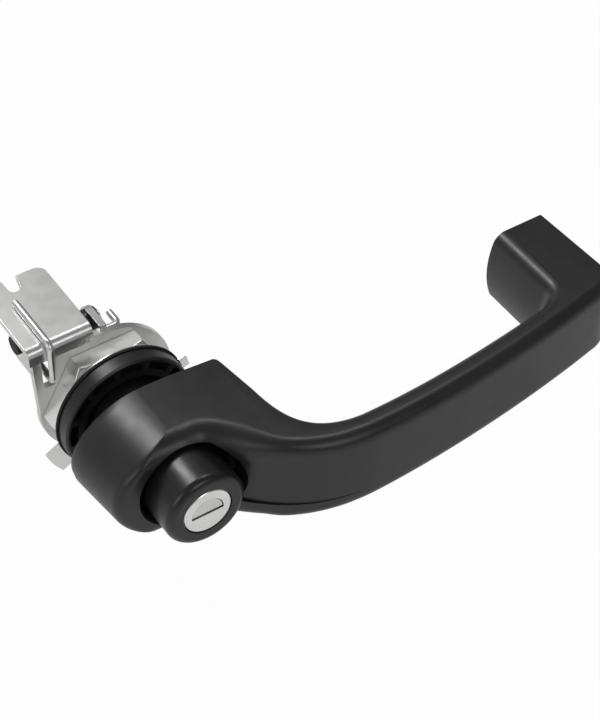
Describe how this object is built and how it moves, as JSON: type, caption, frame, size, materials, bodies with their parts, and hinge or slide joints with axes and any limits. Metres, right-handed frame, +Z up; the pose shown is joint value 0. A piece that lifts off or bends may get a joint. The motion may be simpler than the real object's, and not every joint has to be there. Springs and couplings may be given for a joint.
{
  "type": "push-button grab handle latch",
  "caption": "Black grab handle with a locking push button, clamped through a door by a ring and nut; a sprung trip lever on the inside bracket lifts when the button is pressed.",
  "frame": {"origin": "on the button axis, in the plane where the handle seats on the door", "axes": "+X along the handle from the button to the foot, +Y through the door from outside to inside, +Z up"},
  "size_m": [0.1842, 0.105, 0.0572],
  "materials": {
    "black_plastic": "satin moulded",
    "black_rubber": "matt",
    "zinc": "bright zinc plated",
    "steel": "zinc plated sheet",
    "wire": "bright wire",
    "brass": "plain",
    "black_pin": "smooth"
  },
  "bodies": {
    "frame": {"handle_body": "black_plastic", "foot_insert": "brass", "barrel": "black_plastic", "clamp_ring": "black_plastic", "ring_gasket": "black_rubber", "tab_washer": "steel", "hex_nut": "zinc", "bracket": "steel", "pivot_pin": "black_pin", "pivot_bush": "black_plastic", "pivot_collar": "black_plastic", "pin_clip": "black_pin", "torsion_spring": "wire", "rest_buffer": "black_rubber"},
    "button": {"button_cap": "black_plastic", "plunger": "zinc", "plunger_seal": "black_rubber", "plunger_clip": "steel", "return_spring": "wire"},
    "lock": {"lock_plug": "zinc", "shutter_pin": "steel", "wafer_tumblers": "brass", "tailpiece": "steel"},
    "shutter": {"key_shutter": "zinc"},
    "lever": {"trip_lever": "steel"}
  },
  "joints": [
    {"name": "button_press", "type": "slide", "parent": "frame", "child": "button", "axis": [0, 1, 0], "range_m": [0, 0.006], "stiffness_N_per_m": 900, "springref_m": -0.004, "deforming": ["return_spring"]},
    {"name": "lock_turn", "type": "hinge", "parent": "button", "child": "lock", "pos_m": [0, 0, 0], "axis": [0, 1, 0], "range_deg": [0, 90]},
    {"name": "shutter_swing", "type": "hinge", "parent": "lock", "child": "shutter", "pos_m": [0, -0.0376, 0.0034], "axis": [1, 0, 0], "range_deg": [0, 55], "stiffness_Nm_per_rad": 0.0008, "springref_deg": -22.92},
    {"name": "lever_trip", "type": "hinge", "parent": "frame", "child": "lever", "pos_m": [0, 0.0321, 0.0218], "axis": [1, 0, 0], "range_deg": [0, 21.5], "stiffness_Nm_per_rad": 0.08, "springref_deg": -28.65, "deforming": ["torsion_spring"]}
  ],
  "couplings": [
    {"joint": "lever_trip", "follows": "button_press", "rad_per_m": 62.54}
  ]
}
